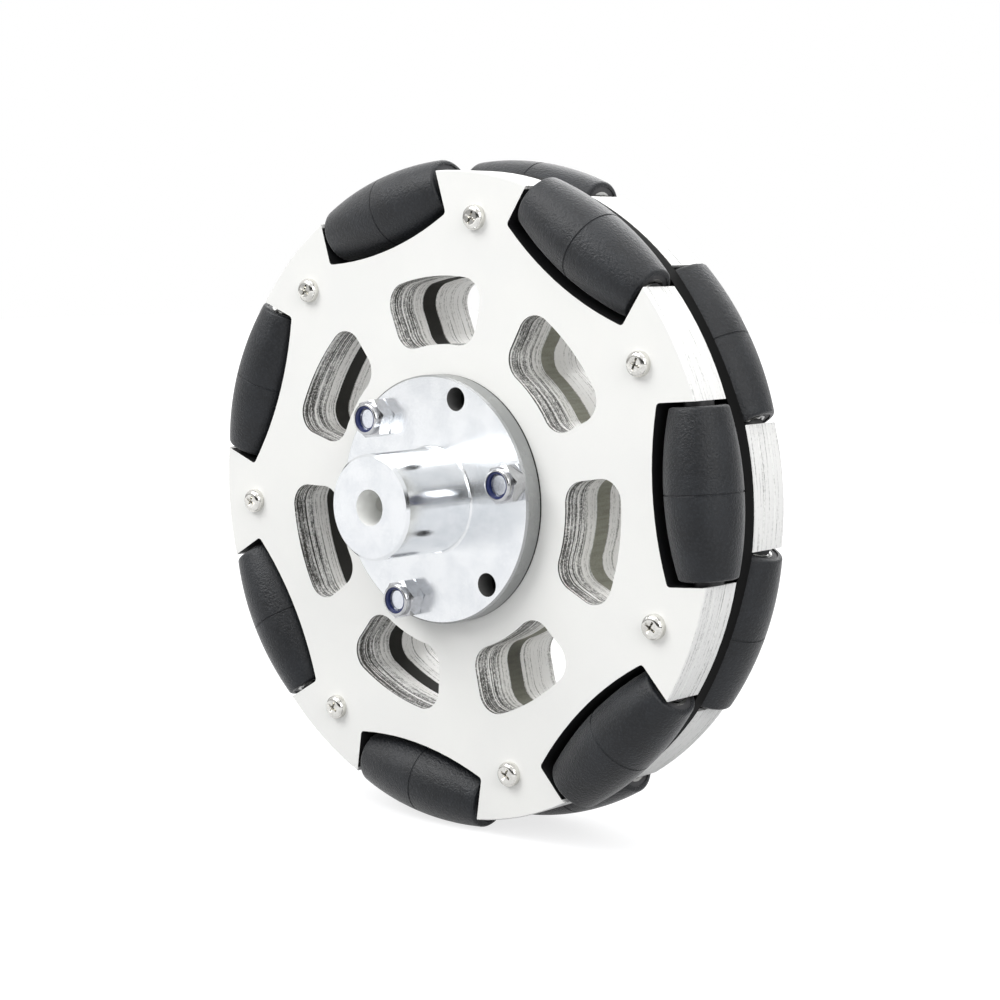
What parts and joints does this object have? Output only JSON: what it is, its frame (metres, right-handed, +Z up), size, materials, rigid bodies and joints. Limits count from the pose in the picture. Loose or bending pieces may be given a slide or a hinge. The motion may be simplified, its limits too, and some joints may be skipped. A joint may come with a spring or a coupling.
{
  "type": "omni wheel",
  "caption": "Double-row omni wheel: barrel rollers on both rims of a windowed plate wheel, staggered so one always touches the ground, with a flanged shaft hub.",
  "frame": {"origin": "on the wheel's axis, in the middle of the spacer between the two rows (inside the shaft bore)", "axes": "+Y along the axle away from the hub's boss, +Z up, +X to the right when looking at the hub side"},
  "size_m": [0.152, 0.0562, 0.152],
  "materials": {
    "plate": "satin",
    "hub": "turned, bright",
    "spacer": "matt, smooth",
    "tread": "matt, fine texture",
    "core": "matt",
    "bearing": "ground",
    "pin": "ground",
    "washer": "black nylon",
    "screw": "nickel plated",
    "bolt": "zinc plated",
    "nut": "zinc plated",
    "insert": "smooth",
    "set_screw": "black oxide"
  },
  "bodies": {
    "root": {"hub": "hub", "hub_set_screw": "set_screw", "hub_bolts": "bolt", "hub_lock_nuts": "nut", "lock_nut_inserts": "insert", "front_outer_plate": "plate", "front_middle_plate": "plate", "front_inner_plate": "plate", "spacer_plate": "spacer", "back_inner_plate": "plate", "back_middle_plate": "plate", "back_outer_plate": "plate", "front_plate_screws": "screw", "back_plate_screws": "screw", "front_axle_pins": "pin", "back_axle_pins": "pin", "thrust_washers": "washer"},
    "front_roller_1": {"front_tread_1": "tread", "front_core_1": "core", "front_bearings_1": "bearing"},
    "front_roller_2": {"front_tread_2": "tread", "front_core_2": "core", "front_bearings_2": "bearing"},
    "front_roller_3": {"front_tread_3": "tread", "front_core_3": "core", "front_bearings_3": "bearing"},
    "front_roller_4": {"front_tread_4": "tread", "front_core_4": "core", "front_bearings_4": "bearing"},
    "front_roller_5": {"front_tread_5": "tread", "front_core_5": "core", "front_bearings_5": "bearing"},
    "front_roller_6": {"front_tread_6": "tread", "front_core_6": "core", "front_bearings_6": "bearing"},
    "front_roller_7": {"front_tread_7": "tread", "front_core_7": "core", "front_bearings_7": "bearing"},
    "back_roller_1": {"back_tread_1": "tread", "back_core_1": "core", "back_bearings_1": "bearing"},
    "back_roller_2": {"back_tread_2": "tread", "back_core_2": "core", "back_bearings_2": "bearing"},
    "back_roller_3": {"back_tread_3": "tread", "back_core_3": "core", "back_bearings_3": "bearing"},
    "back_roller_4": {"back_tread_4": "tread", "back_core_4": "core", "back_bearings_4": "bearing"},
    "back_roller_5": {"back_tread_5": "tread", "back_core_5": "core", "back_bearings_5": "bearing"},
    "back_roller_6": {"back_tread_6": "tread", "back_core_6": "core", "back_bearings_6": "bearing"},
    "back_roller_7": {"back_tread_7": "tread", "back_core_7": "core", "back_bearings_7": "bearing"}
  },
  "joints": [
    {"name": "front_roller_1_spin", "type": "hinge", "parent": "root", "child": "front_roller_1", "pos_m": [0.06736, -0.0077, 0.00566], "axis": [-0.0837, 0, 0.9965], "continuous": true},
    {"name": "front_roller_2_spin", "type": "hinge", "parent": "root", "child": "front_roller_2", "pos_m": [0.03758, -0.0077, 0.05619], "axis": [-0.8313, 0, 0.5559], "continuous": true},
    {"name": "front_roller_3_spin", "type": "hinge", "parent": "root", "child": "front_roller_3", "pos_m": [-0.0205, -0.0077, 0.06442], "axis": [-0.9529, 0, -0.3033], "continuous": true},
    {"name": "front_roller_4_spin", "type": "hinge", "parent": "root", "child": "front_roller_4", "pos_m": [-0.06315, -0.0077, 0.02413], "axis": [-0.357, 0, -0.9341], "continuous": true},
    {"name": "front_roller_5_spin", "type": "hinge", "parent": "root", "child": "front_roller_5", "pos_m": [-0.05824, -0.0077, -0.03432], "axis": [0.5078, 0, -0.8615], "continuous": true},
    {"name": "front_roller_6_spin", "type": "hinge", "parent": "root", "child": "front_roller_6", "pos_m": [-0.00947, -0.0077, -0.06693], "axis": [0.9901, 0, -0.1402], "continuous": true},
    {"name": "front_roller_7_spin", "type": "hinge", "parent": "root", "child": "front_roller_7", "pos_m": [0.04642, -0.0077, -0.04914], "axis": [0.7269, 0, 0.6867], "continuous": true},
    {"name": "back_roller_1_spin", "type": "hinge", "parent": "root", "child": "back_roller_1", "pos_m": [0.05824, 0.0077, 0.03432], "axis": [-0.5078, 0, 0.8615], "continuous": true},
    {"name": "back_roller_2_spin", "type": "hinge", "parent": "root", "child": "back_roller_2", "pos_m": [0.00947, 0.0077, 0.06693], "axis": [-0.9901, 0, 0.1402], "continuous": true},
    {"name": "back_roller_3_spin", "type": "hinge", "parent": "root", "child": "back_roller_3", "pos_m": [-0.04642, 0.0077, 0.04914], "axis": [-0.7269, 0, -0.6867], "continuous": true},
    {"name": "back_roller_4_spin", "type": "hinge", "parent": "root", "child": "back_roller_4", "pos_m": [-0.06736, 0.0077, -0.00566], "axis": [0.0837, 0, -0.9965], "continuous": true},
    {"name": "back_roller_5_spin", "type": "hinge", "parent": "root", "child": "back_roller_5", "pos_m": [-0.03758, 0.0077, -0.05619], "axis": [0.8313, 0, -0.5559], "continuous": true},
    {"name": "back_roller_6_spin", "type": "hinge", "parent": "root", "child": "back_roller_6", "pos_m": [0.0205, 0.0077, -0.06442], "axis": [0.9529, 0, 0.3033], "continuous": true},
    {"name": "back_roller_7_spin", "type": "hinge", "parent": "root", "child": "back_roller_7", "pos_m": [0.06315, 0.0077, -0.02413], "axis": [0.357, 0, 0.9341], "continuous": true}
  ]
}
